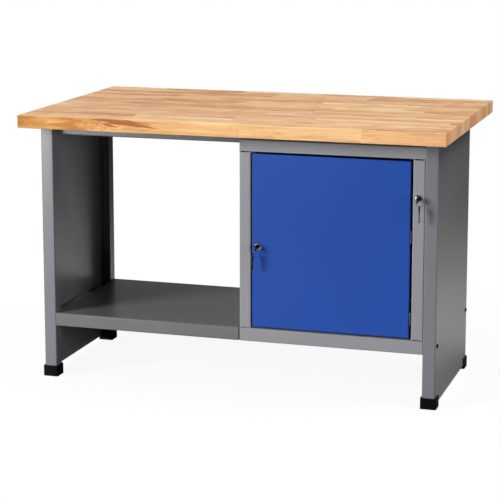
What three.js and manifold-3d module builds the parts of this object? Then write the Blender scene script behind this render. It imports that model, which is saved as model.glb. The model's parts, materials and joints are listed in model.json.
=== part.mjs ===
// Workbench with a lockable cabinet: a laminated wooden worktop on two folded sheet-steel legs, an open
// bay with a lower shelf on the left and a steel cabinet with one inset door on the right.
// Millimetres, +Z up, front towards -Y. The origin is on the floor under the middle of the worktop.
import * as THREE from 'three';
import { mergeVertices } from 'three/addons/utils/BufferGeometryUtils.js';
import Module from 'manifold-3d';

const wasm = await Module();
wasm.setup();

// Worktop
const BENCH_HEIGHT = 850;
const TOP_LENGTH = 1340;
const TOP_DEPTH = 800;
const TOP_THICKNESS = 40;
const TOP_EASED_EDGE = 1.5;

// Legs: one sheet each, folded into a side panel with a hollow post at the front and at the rear
const LEG_SIDE_OVERHANG = 38;
const LEG_FRONT_OVERHANG = 90;
const LEG_DEPTH = 510;
const LEG_SHEET = 2;
const POST_WIDTH = 40;
const POST_DEPTH = 40;
const LEG_TOP_FLANGE = 30;
const BEND_RADIUS = 1.5;

// Feet: plastic caps whose groove takes the folded end of a post
const FOOT_HEIGHT = 34;
const FOOT_FLOOR = 12;
const FOOT_RIM = 4.5;
const FOOT_CORNER = 4;
const FOOT_GROOVE_CLEARANCE = 0.3;

// Rails under the worktop, from leg to leg
const RAIL_HEIGHT = 35;
const RAIL_DEPTH = 40;
const RAIL_SHEET = 2.5;
const RAIL_END_PLATE = 3;
const RAIL_CLEARANCE = 0.5;

// Trays: lower shelf, cabinet floor, cabinet top and inner shelf
const TRAY_LEVEL = 208;
const TRAY_FLANGE = 42;
const TRAY_RETURN = 12;
const TRAY_SHEET = 1.5;
const SHELF_END_GAP = 4;

// Cabinet
const CABINET_WIDTH = 572;
const CABINET_REAR_GAP = 10;
const CABINET_SHEET = 1.5;
const CABINET_HANG = 19;
const STILE_WIDTH = 36;
const SEAM_SLOT_INSET = 5;
const SEAM_SLOT_HEIGHT = 2.4;
const WALL_REAR_LIP = 15;
const BACK_SHEET = 1;
const INNER_SHELF_RISE = 262;
const INNER_SHELF_FLANGE = 20;
const INNER_SHELF_RETURN = 10;
const INNER_SHELF_SETBACK = 40;
const INNER_SHELF_REAR_GAP = 10;
const INNER_SHELF_SIDE_GAP = 1;
const CLIP_REACH = 14;
const CLIP_HEIGHT = 18;
const CLIP_WIDTH = 20;
const CLIP_INSET = 70;

// Door: a folded pan set into the opening, with a hat-shaped stiffener behind its skin
const DOOR_DEPTH = 20;
const DOOR_SHEET = 1.2;
const DOOR_LIP = 8;
const DOOR_TOP_GAP = 6.5;
const DOOR_BOTTOM_GAP = 5.5;
const DOOR_LATCH_GAP = 4;
const DOOR_HINGE_GAP = 7;
const DOOR_STOP = 10;
const DOOR_STOP_GAP = 0.5;
const STIFFENER_CROWN = 40;
const STIFFENER_FLANGE = 20;
const STIFFENER_DEPTH = 14;
const STIFFENER_END_GAP = 14;

// Hinges: butt hinges whose leaves lie against the door edge and the stile's return lip
const HINGE_LENGTH = 38;
const HINGE_LEAF = 1.2;
const HINGE_PIN_RADIUS = 1.5;
const HINGE_PIN_HEAD = 1.2;
const HINGE_CLEARANCE = 0.3;
const HINGE_KNUCKLE_CLEARANCE = 0.5;
const HINGE_SETBACK = 1;
const HINGE_LEAF_MARGIN = 2;
const UPPER_HINGE_DROP = 226;
const LOWER_HINGE_RISE = 60;

// Cam locks
const DOOR_LOCK_INSET = 18;
const DOOR_LOCK_DROP = 285;
const FRAME_LOCK_DROP = 117.5;
const ROSETTE_RADIUS = 12;
const ROSETTE_HEIGHT = 2.5;
const BARREL_RADIUS = 9;
const PLUG_RADIUS = 6;
const LOCK_CLEARANCE = 0.3;
const LOCK_NUT_WIDTH = 24;
const LOCK_NUT_HEIGHT = 4;
const CAM_LENGTH = 32;
const CAM_WIDTH = 14;
const CAM_SHEET = 2;
const CAM_CLEARANCE = 0.7;
const CAM_SCREW_RADIUS = 2;
const CAM_SCREW_LENGTH = 5;
const CAM_SCREW_HEAD_RADIUS = 4.5;
const CAM_SCREW_HEAD = 2;

// Keys and key rings
const KEY_SHEET = 2.2;
const KEY_BLADE_WIDTH = 8;
const KEY_BLADE_DEPTH = 18;
const KEY_SHANK = 10;
const KEY_TIP = 2.5;
const KEY_BOW_LENGTH = 24;
const KEY_BOW_WIDTH = 20;
const KEY_HOLE_RADIUS = 4.8;
const KEY_HOLE_INSET = 6.8;
const KEY_CUTS = 5;
const KEY_CUT_PITCH = 3;
const KEY_CUT_DEPTH = 2.4;
const RING_RADIUS = 10.5;
const RING_WIRE_RADIUS = 0.7;
const RING_SAG = 0.3;
const RING_REST_GAP = 0.3;

// Bolts that hold the trays to the leg posts
const BOLT_RADIUS = 4;
const BOLT_HEAD_RADIUS = 7;
const BOLT_HEAD_HEIGHT = 4;
const BOLT_HOLE_CLEARANCE = 0.5;
const BOLT_DROP = 16;
const NUT_WIDTH = 13;
const NUT_HEIGHT = 6.5;
const BOLT_TAIL = 2;

// Gaps that pieces share: between sheet edges that meet, and under a head, nut or rosette on its face
const FIT_GAP = 0.3;
const SEAT_GAP = 0.1;

// Facets of round pieces
const ROUND_SIDES = 20;
const SMALL_SIDES = 12;
const BEND_STEPS = 3;

// Levels and planes that the pieces share
const TOP_UNDERSIDE = BENCH_HEIGHT - TOP_THICKNESS;
const RAIL_BOTTOM = TOP_UNDERSIDE - RAIL_HEIGHT;
const FRONT_Y = -TOP_DEPTH / 2 + LEG_FRONT_OVERHANG;
const LEG_REAR_Y = FRONT_Y + LEG_DEPTH;
const LEG_OUTER_X = TOP_LENGTH / 2 - LEG_SIDE_OVERHANG;
const LEG_INNER_X = LEG_OUTER_X - POST_WIDTH;
const RAIL_FRONT_Y = FRONT_Y + POST_DEPTH + RAIL_CLEARANCE;
const RAIL_REAR_Y = LEG_REAR_Y - POST_DEPTH - RAIL_CLEARANCE;
const CABINET_RIGHT = LEG_INNER_X;
const CABINET_LEFT = CABINET_RIGHT - CABINET_WIDTH;
const CABINET_REAR_Y = LEG_REAR_Y - CABINET_REAR_GAP;
const CABINET_CEILING = RAIL_BOTTOM - CABINET_HANG;
const OPENING_LEFT = CABINET_LEFT + STILE_WIDTH;
const OPENING_RIGHT = CABINET_RIGHT - STILE_WIDTH;
const DOOR_LEFT = OPENING_LEFT + DOOR_LATCH_GAP;
const DOOR_RIGHT = OPENING_RIGHT - DOOR_HINGE_GAP;
const DOOR_BOTTOM = TRAY_LEVEL + DOOR_BOTTOM_GAP;
const DOOR_TOP = CABINET_CEILING - DOOR_TOP_GAP;
const DOOR_REAR_Y = FRONT_Y + DOOR_DEPTH;
const HINGE_X = OPENING_RIGHT - DOOR_HINGE_GAP / 2;
const HINGE_Y = FRONT_Y + HINGE_SETBACK;
const KNUCKLE_RADIUS = DOOR_HINGE_GAP / 2 - HINGE_KNUCKLE_CLEARANCE;
const CAM_PLANE = DOOR_DEPTH + DOOR_STOP_GAP + CABINET_SHEET + CAM_CLEARANCE;
const BOLT_Z = TRAY_LEVEL - BOLT_DROP;
const FRONT_BOLT_Y = FRONT_Y + POST_DEPTH / 2;
const REAR_BOLT_Y = LEG_REAR_Y - POST_DEPTH / 2;
const FRONT = 'front';
const REAR = 'rear';

// Finishes
const finish = (color, roughness, metalness) => (
  new THREE.MeshStandardMaterial({ color, roughness, metalness })
);
const BEECH = finish(0xdcb88c, 0.55, 0);
const GREY_PAINT = finish(0x96969b, 0.45, 0.1);
const LEG_PAINT = finish(0x7c8088, 0.45, 0.1);
const BLUE_PAINT = finish(0x2d53a5, 0.4, 0.05);
const BLACK_PLASTIC = finish(0x0c0c0e, 0.6, 0);
const NICKEL = finish(0xc9c6be, 0.25, 1);
const STEEL = finish(0xa5a29a, 0.35, 1);
const DARK_STEEL = finish(0x2a2a2c, 0.5, 0.8);

// Outlines

// Points of a polyline with each inner corner rounded by the radius given for it
function bentLine(corners, radii) {
  const points = [];
  corners.forEach(([x, y], i) => {
    const corner = new THREE.Vector2(x, y);
    if (i === 0 || i === corners.length - 1 || radii[i] === 0) {
      points.push(corner);
      return;
    }
    const along = corner.clone().sub(new THREE.Vector2(...corners[i - 1])).normalize();
    const away = new THREE.Vector2(...corners[i + 1]).sub(corner).normalize();
    const turn = Math.atan2(along.cross(away), along.dot(away));
    const run = radii[i] * Math.tan(Math.abs(turn) / 2);
    const start = corner.clone().addScaledVector(along, -run);
    const toCentre = new THREE.Vector2(-along.y, along.x).multiplyScalar(Math.sign(turn) * radii[i]);
    const centre = start.clone().add(toCentre);
    for (let step = 0; step <= BEND_STEPS; step += 1) {
      points.push(start.clone().rotateAround(centre, (turn * step) / BEND_STEPS));
    }
  });
  return points;
}

// Section of a folded sheet. The corners follow its outer face, and the metal lies to the left of the
// walk (side 1) or to the right (side -1).
function foldedSheet(corners, thickness, side, bend = BEND_RADIUS) {
  const normals = corners.slice(1).map(([x, y], i) => {
    const along = new THREE.Vector2(x - corners[i][0], y - corners[i][1]).normalize();
    return new THREE.Vector2(-along.y, along.x).multiplyScalar(side);
  });
  const outerRadii = [];
  const innerRadii = [];
  const innerCorners = corners.map(([x, y], i) => {
    const before = normals[Math.max(i - 1, 0)];
    const after = normals[Math.min(i, normals.length - 1)];
    const inwards = before.cross(after) * side > 0;
    outerRadii.push(inwards ? bend + thickness : bend);
    innerRadii.push(inwards ? bend : bend + thickness);
    const shift = before.clone().add(after).multiplyScalar(thickness / (1 + before.dot(after)));
    return [x + shift.x, y + shift.y];
  });
  const outerFace = bentLine(corners, outerRadii);
  const innerFace = bentLine(innerCorners, innerRadii);
  return new THREE.Shape([...outerFace, ...innerFace.reverse()]);
}

function circlePoints(x, y, radius, sides, turn = 0) {
  return Array.from({ length: sides }, (_, i) => {
    const angle = turn + (2 * Math.PI * i) / sides;
    return new THREE.Vector2(x + radius * Math.cos(angle), y + radius * Math.sin(angle));
  });
}

function disc(x, y, radius, sides = ROUND_SIDES) {
  return new THREE.Shape(circlePoints(x, y, radius, sides));
}

function hexNut(width, boreRadius) {
  const shape = new THREE.Shape(circlePoints(0, 0, width / Math.sqrt(3), 6, Math.PI / 6));
  shape.holes.push(new THREE.Path(circlePoints(0, 0, boreRadius, SMALL_SIDES)));
  return shape;
}

// Solids

const X_AXIS = new THREE.Vector3(1, 0, 0);
const Y_AXIS = new THREE.Vector3(0, 1, 0);
const Z_AXIS = new THREE.Vector3(0, 0, 1);
const MINUS_Y_AXIS = new THREE.Vector3(0, -1, 0);

function extruded(shape, length) {
  return new THREE.ExtrudeGeometry(shape, { depth: length, bevelEnabled: false });
}

// A (y, z) section run along X
function alongX(shape, from, to) {
  const turned = new THREE.Matrix4().makeBasis(Y_AXIS, Z_AXIS, X_AXIS);
  return extruded(shape, to - from).applyMatrix4(turned).translate(from, 0, 0);
}

// An (x, z) section run along Y
function alongY(shape, from, to) {
  const turned = new THREE.Matrix4().makeBasis(X_AXIS, Z_AXIS, MINUS_Y_AXIS);
  return extruded(shape, to - from).applyMatrix4(turned).translate(0, to, 0);
}

// An (x, y) section run along Z
function alongZ(shape, from, to) {
  return extruded(shape, to - from).translate(0, 0, from);
}

function block(x0, x1, y0, y1, z0, z1) {
  const [left, right] = x0 < x1 ? [x0, x1] : [x1, x0];
  return new THREE.BoxGeometry(right - left, y1 - y0, z1 - z0)
    .translate((left + right) / 2, (y0 + y1) / 2, (z0 + z1) / 2);
}

function toManifold(geometry) {
  const bare = geometry.clone();
  bare.deleteAttribute('normal');
  bare.deleteAttribute('uv');
  const welded = mergeVertices(bare);
  const mesh = new wasm.Mesh({
    numProp: 3,
    vertProperties: new Float32Array(welded.attributes.position.array),
    triVerts: new Uint32Array(welded.index.array),
  });
  mesh.merge();
  return new wasm.Manifold(mesh);
}

function fromManifold(solid) {
  const mesh = solid.getMesh();
  const geometry = new THREE.BufferGeometry();
  geometry.setAttribute('position', new THREE.BufferAttribute(mesh.vertProperties, 3));
  geometry.setIndex(new THREE.BufferAttribute(mesh.triVerts, 1));
  const faceted = geometry.toNonIndexed();
  faceted.computeVertexNormals();
  return faceted;
}

function combine(first, others, operation) {
  const solid = others.reduce((sum, other) => sum[operation](toManifold(other)), toManifold(first));
  return fromManifold(solid);
}

const join = (first, ...others) => combine(first, others, 'add');
const cut = (first, ...others) => combine(first, others, 'subtract');
const common = (first, ...others) => combine(first, others, 'intersect');

// The bench and its sub-parts

const workbench = new THREE.Group();
workbench.name = 'workbench';

function addPart(name, geometry, material, parent = workbench) {
  const mesh = new THREE.Mesh(geometry, material);
  mesh.name = name;
  parent.add(mesh);
  return mesh;
}

function addWorktop() {
  const half = TOP_LENGTH / 2 - TOP_EASED_EDGE;
  const deep = TOP_DEPTH / 2 - TOP_EASED_EDGE;
  const outline = new THREE.Shape([[-half, -deep], [half, -deep], [half, deep], [-half, deep]]
    .map(([x, y]) => new THREE.Vector2(x, y)));
  const board = new THREE.ExtrudeGeometry(outline, {
    depth: TOP_THICKNESS - 2 * TOP_EASED_EDGE,
    bevelThickness: TOP_EASED_EDGE,
    bevelSize: TOP_EASED_EDGE,
    bevelSegments: 1,
  });
  addPart('worktop', board.translate(0, 0, TOP_UNDERSIDE + TOP_EASED_EDGE), BEECH);
}

// Section of a leg; side is -1 for the left leg and 1 for the right one
function legSection(side, grow = 0) {
  const outer = side * (LEG_OUTER_X + grow);
  const inner = side * (LEG_INNER_X - grow);
  const front = FRONT_Y - grow;
  const rear = LEG_REAR_Y + grow;
  const lip = POST_DEPTH + 2 * grow;
  const corners = [
    [inner, rear - lip], [inner, rear], [outer, rear], [outer, front], [inner, front], [inner, front + lip],
  ];
  return foldedSheet(corners, LEG_SHEET + 2 * grow, -side, BEND_RADIUS - grow);
}

function boltHole(y) {
  return disc(y, BOLT_Z, BOLT_RADIUS + BOLT_HOLE_CLEARANCE, SMALL_SIDES);
}

function addLeg(name, side) {
  const folded = alongZ(legSection(side), FOOT_FLOOR, TOP_UNDERSIDE);
  const flange = block(
    side * LEG_OUTER_X, side * (LEG_OUTER_X - LEG_TOP_FLANGE),
    RAIL_FRONT_Y + RAIL_DEPTH + RAIL_CLEARANCE, RAIL_REAR_Y - RAIL_DEPTH - RAIL_CLEARANCE,
    TOP_UNDERSIDE - LEG_SHEET, TOP_UNDERSIDE,
  );
  const reach = LEG_OUTER_X + BOLT_TAIL;
  const from = Math.min(side * reach, side * (LEG_INNER_X - BOLT_TAIL));
  const holes = [FRONT_BOLT_Y, REAR_BOLT_Y]
    .map((y) => alongX(boltHole(y), from, from + POST_WIDTH + 2 * BOLT_TAIL));
  addPart(name, cut(join(folded, flange), ...holes), LEG_PAINT);
}

function addFoot(name, side, end) {
  const outer = side * (LEG_OUTER_X + FOOT_RIM);
  const inner = side * (LEG_INNER_X - FOOT_RIM);
  const post = end === FRONT ? FRONT_Y : LEG_REAR_Y - POST_DEPTH;
  const front = post - FOOT_RIM;
  const rear = post + POST_DEPTH + FOOT_RIM;
  const middle = (inner + outer) / 2;
  const corners = [
    [middle, front], [outer, front], [outer, rear], [inner, rear], [inner, front], [middle, front],
  ];
  const outline = bentLine(corners, corners.map(() => FOOT_CORNER)).slice(0, -1);
  const cap = alongZ(new THREE.Shape(outline), 0, FOOT_HEIGHT);
  const groove = alongZ(legSection(side, FOOT_GROOVE_CLEARANCE), FOOT_FLOOR, FOOT_HEIGHT + FOOT_RIM);
  addPart(name, cut(cap, groove), BLACK_PLASTIC);
}

// Channel with its web outwards, closed by a plate at each end
function addRail(name, webY, inwards) {
  const open = webY + inwards * RAIL_DEPTH;
  const corners = [[open, RAIL_BOTTOM], [webY, RAIL_BOTTOM], [webY, TOP_UNDERSIDE], [open, TOP_UNDERSIDE]];
  const end = LEG_OUTER_X - LEG_SHEET;
  const front = Math.min(webY, open) + RAIL_SHEET;
  const channel = alongX(foldedSheet(corners, RAIL_SHEET, -inwards), -end, end);
  const plates = [-end, end - RAIL_END_PLATE].map((x) => block(
    x, x + RAIL_END_PLATE, front, front + RAIL_DEPTH - 2 * RAIL_SHEET,
    RAIL_BOTTOM + RAIL_SHEET / 2, TOP_UNDERSIDE - RAIL_SHEET / 2,
  ));
  addPart(name, join(channel, ...plates), LEG_PAINT);
}

// Section of a tray with its flanges down: panel, front and rear flange, and their return lips
function traySection(front, rear, level, flange, lip) {
  const foot = level - flange;
  const corners = [
    [rear - lip, foot], [rear, foot], [rear, level], [front, level], [front, foot], [front + lip, foot],
  ];
  return foldedSheet(corners, TRAY_SHEET, 1);
}

// Plate that closes one end of a tray between its panel and its return lips; x is the plate's outer face
// and inwards points into the tray. An end that is bolted to a leg has holes at the posts.
function addTrayEnd(name, x, inwards, rear, isBolted) {
  const inset = TRAY_SHEET + BEND_RADIUS;
  const plate = block(
    x, x + inwards * TRAY_SHEET, FRONT_Y + inset, rear - inset,
    TRAY_LEVEL - TRAY_FLANGE + TRAY_SHEET, TRAY_LEVEL - TRAY_SHEET,
  );
  const boltPlaces = isBolted ? [FRONT_BOLT_Y, REAR_BOLT_Y] : [];
  const holes = boltPlaces.map((y) => alongX(boltHole(y), x - 2 * TRAY_SHEET, x + 2 * TRAY_SHEET));
  addPart(name, cut(plate, ...holes), GREY_PAINT);
}

function addLowerShelf() {
  const left = -LEG_INNER_X;
  const right = CABINET_LEFT;
  const inset = TRAY_SHEET + BEND_RADIUS;
  const section = traySection(FRONT_Y, LEG_REAR_Y, TRAY_LEVEL, TRAY_FLANGE, TRAY_RETURN);
  const tray = alongX(section, left, right - SHELF_END_GAP);
  const tongue = block(
    right - 2 * SHELF_END_GAP, right, FRONT_Y + inset, LEG_REAR_Y - inset,
    TRAY_LEVEL - TRAY_SHEET, TRAY_LEVEL,
  );
  addPart('lower_shelf', join(tray, tongue), GREY_PAINT);
  addTrayEnd('shelf_end_left', left, 1, LEG_REAR_Y, true);
  addTrayEnd('shelf_end_right', right - SHELF_END_GAP, -1, LEG_REAR_Y, false);
}

function addCabinetFloor() {
  const section = traySection(FRONT_Y, CABINET_REAR_Y, TRAY_LEVEL, TRAY_FLANGE, TRAY_RETURN);
  addPart('cabinet_floor', alongX(section, CABINET_LEFT, CABINET_RIGHT), GREY_PAINT);
  addTrayEnd('floor_end_left', CABINET_LEFT, 1, CABINET_REAR_Y, false);
  addTrayEnd('floor_end_right', CABINET_RIGHT, -1, CABINET_REAR_Y, true);
}

// The top tray has its flanges up: its side flanges carry it on the rails, and its tall front flange is
// the upper rail of the door frame
function addCabinetTop() {
  const crown = CABINET_CEILING + TRAY_FLANGE;
  const corners = [
    [CABINET_REAR_Y, RAIL_BOTTOM], [CABINET_REAR_Y, CABINET_CEILING], [FRONT_Y, CABINET_CEILING],
    [FRONT_Y, crown], [FRONT_Y + TRAY_RETURN, crown],
  ];
  const tray = alongX(foldedSheet(corners, TRAY_SHEET, -1), CABINET_LEFT, CABINET_RIGHT);
  const inset = TRAY_SHEET + BEND_RADIUS;
  const ends = [CABINET_LEFT, CABINET_RIGHT - TRAY_SHEET].map((x) => block(
    x, x + TRAY_SHEET, FRONT_Y + inset, CABINET_REAR_Y - inset, CABINET_CEILING, RAIL_BOTTOM,
  ));
  addPart('cabinet_top', join(tray, ...ends), GREY_PAINT);
}

// Relief slots across a stile where it meets the rails above and below it
function seamSlots(outer, inwards) {
  const ends = [TRAY_LEVEL, CABINET_CEILING];
  return ends.map((z) => block(
    outer + inwards * SEAM_SLOT_INSET, outer + inwards * (STILE_WIDTH - SEAM_SLOT_INSET),
    FRONT_Y - CABINET_SHEET, FRONT_Y + 2 * CABINET_SHEET, z - SEAM_SLOT_HEIGHT, z + SEAM_SLOT_HEIGHT,
  ));
}

// Wall, stile and return lip in one folded sheet, cut through by the holes given; the latch side goes on
// into a stop behind the door
function addCabinetWall(name, outer, inwards, hasStop, holes) {
  const stileEdge = outer + inwards * STILE_WIDTH;
  const lipEnd = DOOR_REAR_Y + (hasStop ? DOOR_STOP_GAP : 0);
  const corners = [
    [outer + inwards * WALL_REAR_LIP, CABINET_REAR_Y], [outer, CABINET_REAR_Y], [outer, FRONT_Y],
    [stileEdge, FRONT_Y], [stileEdge, lipEnd],
  ];
  if (hasStop) {
    corners.push([stileEdge + inwards * DOOR_STOP, lipEnd]);
  }
  const wall = alongZ(foldedSheet(corners, CABINET_SHEET, inwards), TRAY_LEVEL, CABINET_CEILING);
  addPart(name, cut(wall, ...seamSlots(outer, inwards), ...holes), GREY_PAINT);
}

function addCabinetBack() {
  const side = CABINET_SHEET + BEND_RADIUS;
  const rear = CABINET_REAR_Y - CABINET_SHEET;
  const sheet = block(
    CABINET_LEFT + side, CABINET_RIGHT - side, rear - BACK_SHEET, rear,
    TRAY_LEVEL + FIT_GAP, CABINET_CEILING - FIT_GAP,
  );
  addPart('cabinet_back', sheet, GREY_PAINT);
}

function addInnerShelf() {
  const level = TRAY_LEVEL + INNER_SHELF_RISE;
  const front = FRONT_Y + INNER_SHELF_SETBACK;
  const rear = CABINET_REAR_Y - INNER_SHELF_REAR_GAP;
  const inset = CABINET_SHEET + INNER_SHELF_SIDE_GAP;
  const section = traySection(front, rear, level, INNER_SHELF_FLANGE, INNER_SHELF_RETURN);
  addPart('inner_shelf', alongX(section, CABINET_LEFT + inset, CABINET_RIGHT - inset), GREY_PAINT);
  const seat = level - TRAY_SHEET;
  const places = [[FRONT, front + CLIP_INSET], [REAR, rear - CLIP_INSET]];
  const walls = [['left', CABINET_LEFT + CABINET_SHEET, 1], ['right', CABINET_RIGHT - CABINET_SHEET, -1]];
  walls.forEach(([hand, wallFace, inwards]) => places.forEach(([end, y]) => {
    const reach = wallFace + inwards * CLIP_REACH;
    const corners = [[wallFace, seat - CLIP_HEIGHT], [wallFace, seat], [reach, seat]];
    const angle = foldedSheet(corners, TRAY_SHEET, -inwards);
    const clip = alongY(angle, y - CLIP_WIDTH / 2, y + CLIP_WIDTH / 2);
    addPart(`shelf_clip_${end}_${hand}`, clip, STEEL);
  }));
}

// A bar with its two front edges rounded, given by its sides, front and rear
const roundedFront = (low, high, front, rear, radius) => bentLine(
  [[low, rear], [low, front], [high, front], [high, rear]], [0, radius, radius, 0],
);

function doorBody(margin, radius) {
  const front = FRONT_Y + margin;
  const rear = DOOR_REAR_Y - margin;
  const across = roundedFront(DOOR_LEFT + margin, DOOR_RIGHT - margin, front, rear, radius);
  const upright = roundedFront(DOOR_BOTTOM + margin, DOOR_TOP - margin, front, rear, radius)
    .map(({ x, y }) => new THREE.Vector2(y, x));
  return common(
    alongZ(new THREE.Shape(across), DOOR_BOTTOM + margin, DOOR_TOP - margin),
    alongX(new THREE.Shape(upright), DOOR_LEFT + margin, DOOR_RIGHT - margin),
  );
}

const doorLockX = DOOR_LEFT + DOOR_LOCK_INSET;
const doorLockZ = DOOR_TOP - DOOR_LOCK_DROP;
const frameLockX = OPENING_RIGHT + STILE_WIDTH / 2;
const frameLockZ = CABINET_CEILING - FRAME_LOCK_DROP;

function lockHole(x, z) {
  const hole = disc(x, z, BARREL_RADIUS + LOCK_CLEARANCE);
  return alongY(hole, FRONT_Y - DOOR_SHEET, FRONT_Y + 2 * CABINET_SHEET);
}

function addDoor() {
  const mouth = block(
    DOOR_LEFT + DOOR_LIP, DOOR_RIGHT - DOOR_LIP, DOOR_REAR_Y - 2 * DOOR_SHEET, DOOR_REAR_Y + DOOR_SHEET,
    DOOR_BOTTOM + DOOR_LIP, DOOR_TOP - DOOR_LIP,
  );
  const pan = cut(
    doorBody(0, BEND_RADIUS + DOOR_SHEET), doorBody(DOOR_SHEET, BEND_RADIUS), mouth,
    lockHole(doorLockX, doorLockZ),
  );
  addPart('door', pan, BLUE_PAINT);
  const skin = FRONT_Y + DOOR_SHEET;
  const crown = skin + STIFFENER_DEPTH;
  const middle = (DOOR_LEFT + DOOR_RIGHT) / 2;
  const half = STIFFENER_CROWN / 2;
  const wide = half + STIFFENER_FLANGE;
  const corners = [
    [middle - wide, skin], [middle - half, skin], [middle - half, crown],
    [middle + half, crown], [middle + half, skin], [middle + wide, skin],
  ];
  const hat = alongZ(
    foldedSheet(corners, DOOR_SHEET, 1), DOOR_BOTTOM + STIFFENER_END_GAP, DOOR_TOP - STIFFENER_END_GAP,
  );
  addPart('door_stiffener', hat, BLUE_PAINT);
}

// Leaf with its knuckles; face is the plane it lies against and inwards points to the pin
function hingeLeaf(face, inwards, middle, knuckles) {
  const rootY = HINGE_Y + KNUCKLE_RADIUS + HINGE_CLEARANCE;
  const endY = DOOR_REAR_Y - HINGE_LEAF_MARGIN;
  const back = face + inwards * HINGE_LEAF;
  const plate = block(face, back, rootY, endY, middle - HINGE_LENGTH / 2, middle + HINGE_LENGTH / 2);
  const boreRadius = HINGE_PIN_RADIUS + HINGE_CLEARANCE;
  const pieces = knuckles.flatMap(([low, high]) => [
    block(face, back, HINGE_Y, rootY + HINGE_CLEARANCE, middle + low, middle + high),
    alongZ(disc(HINGE_X, HINGE_Y, KNUCKLE_RADIUS), middle + low, middle + high),
  ]);
  const bore = alongZ(disc(HINGE_X, HINGE_Y, boreRadius), middle - HINGE_LENGTH, middle + HINGE_LENGTH);
  return cut(join(plate, ...pieces), bore);
}

function addHinge(name, middle) {
  const end = HINGE_LENGTH / 2;
  const third = HINGE_LENGTH / 6;
  const gap = HINGE_CLEARANCE / 2;
  const frameLeaf = hingeLeaf(OPENING_RIGHT, -1, middle, [[-end, -third - gap], [third + gap, end]]);
  const doorLeaf = hingeLeaf(DOOR_RIGHT, 1, middle, [[-third + gap, third - gap]]);
  addPart(`${name}_frame_leaf`, frameLeaf, STEEL);
  addPart(`${name}_door_leaf`, doorLeaf, STEEL);
  const low = -end - SEAT_GAP;
  const headRadius = KNUCKLE_RADIUS - HINGE_CLEARANCE;
  const profile = [
    [0, low - HINGE_PIN_HEAD], [headRadius, low - HINGE_PIN_HEAD], [headRadius, low],
    [HINGE_PIN_RADIUS, low], [HINGE_PIN_RADIUS, -low], [headRadius, -low],
    [headRadius, -low + HINGE_PIN_HEAD], [0, -low + HINGE_PIN_HEAD],
  ];
  const upright = new THREE.Matrix4().makeBasis(Y_AXIS, Z_AXIS, X_AXIS);
  const pin = addPart(`${name}_pin`, turned(profile, SMALL_SIDES).applyMatrix4(upright), STEEL);
  pin.position.set(HINGE_X, HINGE_Y, middle);
}

// Solid of revolution about Y from [radius, y] points that run towards +Y
function turned(profile, sides = ROUND_SIDES) {
  return new THREE.LatheGeometry(profile.map(([r, y]) => new THREE.Vector2(r, y)), sides);
}

// Key in the (y, z) plane: its blade points to +Y and its shoulder is at y = 0
function keyGeometry() {
  const halfBlade = KEY_BLADE_WIDTH / 2;
  const halfBow = KEY_BOW_WIDTH / 2;
  const bowCentre = -KEY_SHANK - KEY_BOW_LENGTH / 2;
  const start = Math.asin(halfBlade / halfBow);
  const outline = [[KEY_BLADE_DEPTH, 0], [KEY_BLADE_DEPTH - KEY_TIP, halfBlade]];
  for (let step = 0; step <= ROUND_SIDES; step += 1) {
    const angle = start + ((2 * Math.PI - 2 * start) * step) / ROUND_SIDES;
    outline.push([bowCentre + (KEY_BOW_LENGTH / 2) * Math.cos(angle), halfBow * Math.sin(angle)]);
  }
  for (let i = 0; i < KEY_CUTS; i += 1) {
    const y = KEY_BLADE_DEPTH - KEY_TIP - KEY_CUT_PITCH * (KEY_CUTS - i);
    const depth = (KEY_CUT_DEPTH * (1 + ((2 * i) % 3))) / 3;
    outline.push([y, -halfBlade], [y + KEY_CUT_PITCH / 2, depth - halfBlade]);
  }
  outline.push([KEY_BLADE_DEPTH - KEY_TIP, -halfBlade]);
  const shape = new THREE.Shape(outline.map(([y, z]) => new THREE.Vector2(y, z)));
  shape.holes.push(new THREE.Path(circlePoints(keyHoleY(), 0, KEY_HOLE_RADIUS, ROUND_SIDES)));
  return alongX(shape, -KEY_SHEET / 2, KEY_SHEET / 2);
}

function keyHoleY() {
  return -KEY_SHANK - KEY_BOW_LENGTH + KEY_HOLE_INSET;
}

// Lock with its axis along Y and its rosette on the panel face at y = 0. The key ring hangs to the side
// given by hand, and the cam points down (-1) or up (1) while the door is free to open.
function addLock(name, x, z, panel, hand, camUp) {
  const lock = new THREE.Group();
  lock.position.set(x, FRONT_Y, z);
  workbench.add(lock);
  const bore = PLUG_RADIUS + LOCK_CLEARANCE;
  const dome = ROSETTE_HEIGHT / 2;
  const barrelEnd = CAM_PLANE - LOCK_CLEARANCE;
  const housing = [
    [bore, -ROSETTE_HEIGHT], [ROSETTE_RADIUS - dome, -ROSETTE_HEIGHT], [ROSETTE_RADIUS, -dome],
    [ROSETTE_RADIUS, -SEAT_GAP], [BARREL_RADIUS, -SEAT_GAP], [BARREL_RADIUS, barrelEnd],
    [bore, barrelEnd], [bore, -ROSETTE_HEIGHT],
  ];
  addPart(`${name}_lock_housing`, turned(housing), NICKEL, lock);
  const nutSeat = panel + SEAT_GAP;
  const nutSection = hexNut(LOCK_NUT_WIDTH, BARREL_RADIUS + LOCK_CLEARANCE);
  const nut = alongY(nutSection, nutSeat, nutSeat + LOCK_NUT_HEIGHT);
  addPart(`${name}_lock_nut`, nut, STEEL, lock);
  addTurningPieces(name, lock, camUp);
  addSpareKey(name, lock, hand);
}

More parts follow.
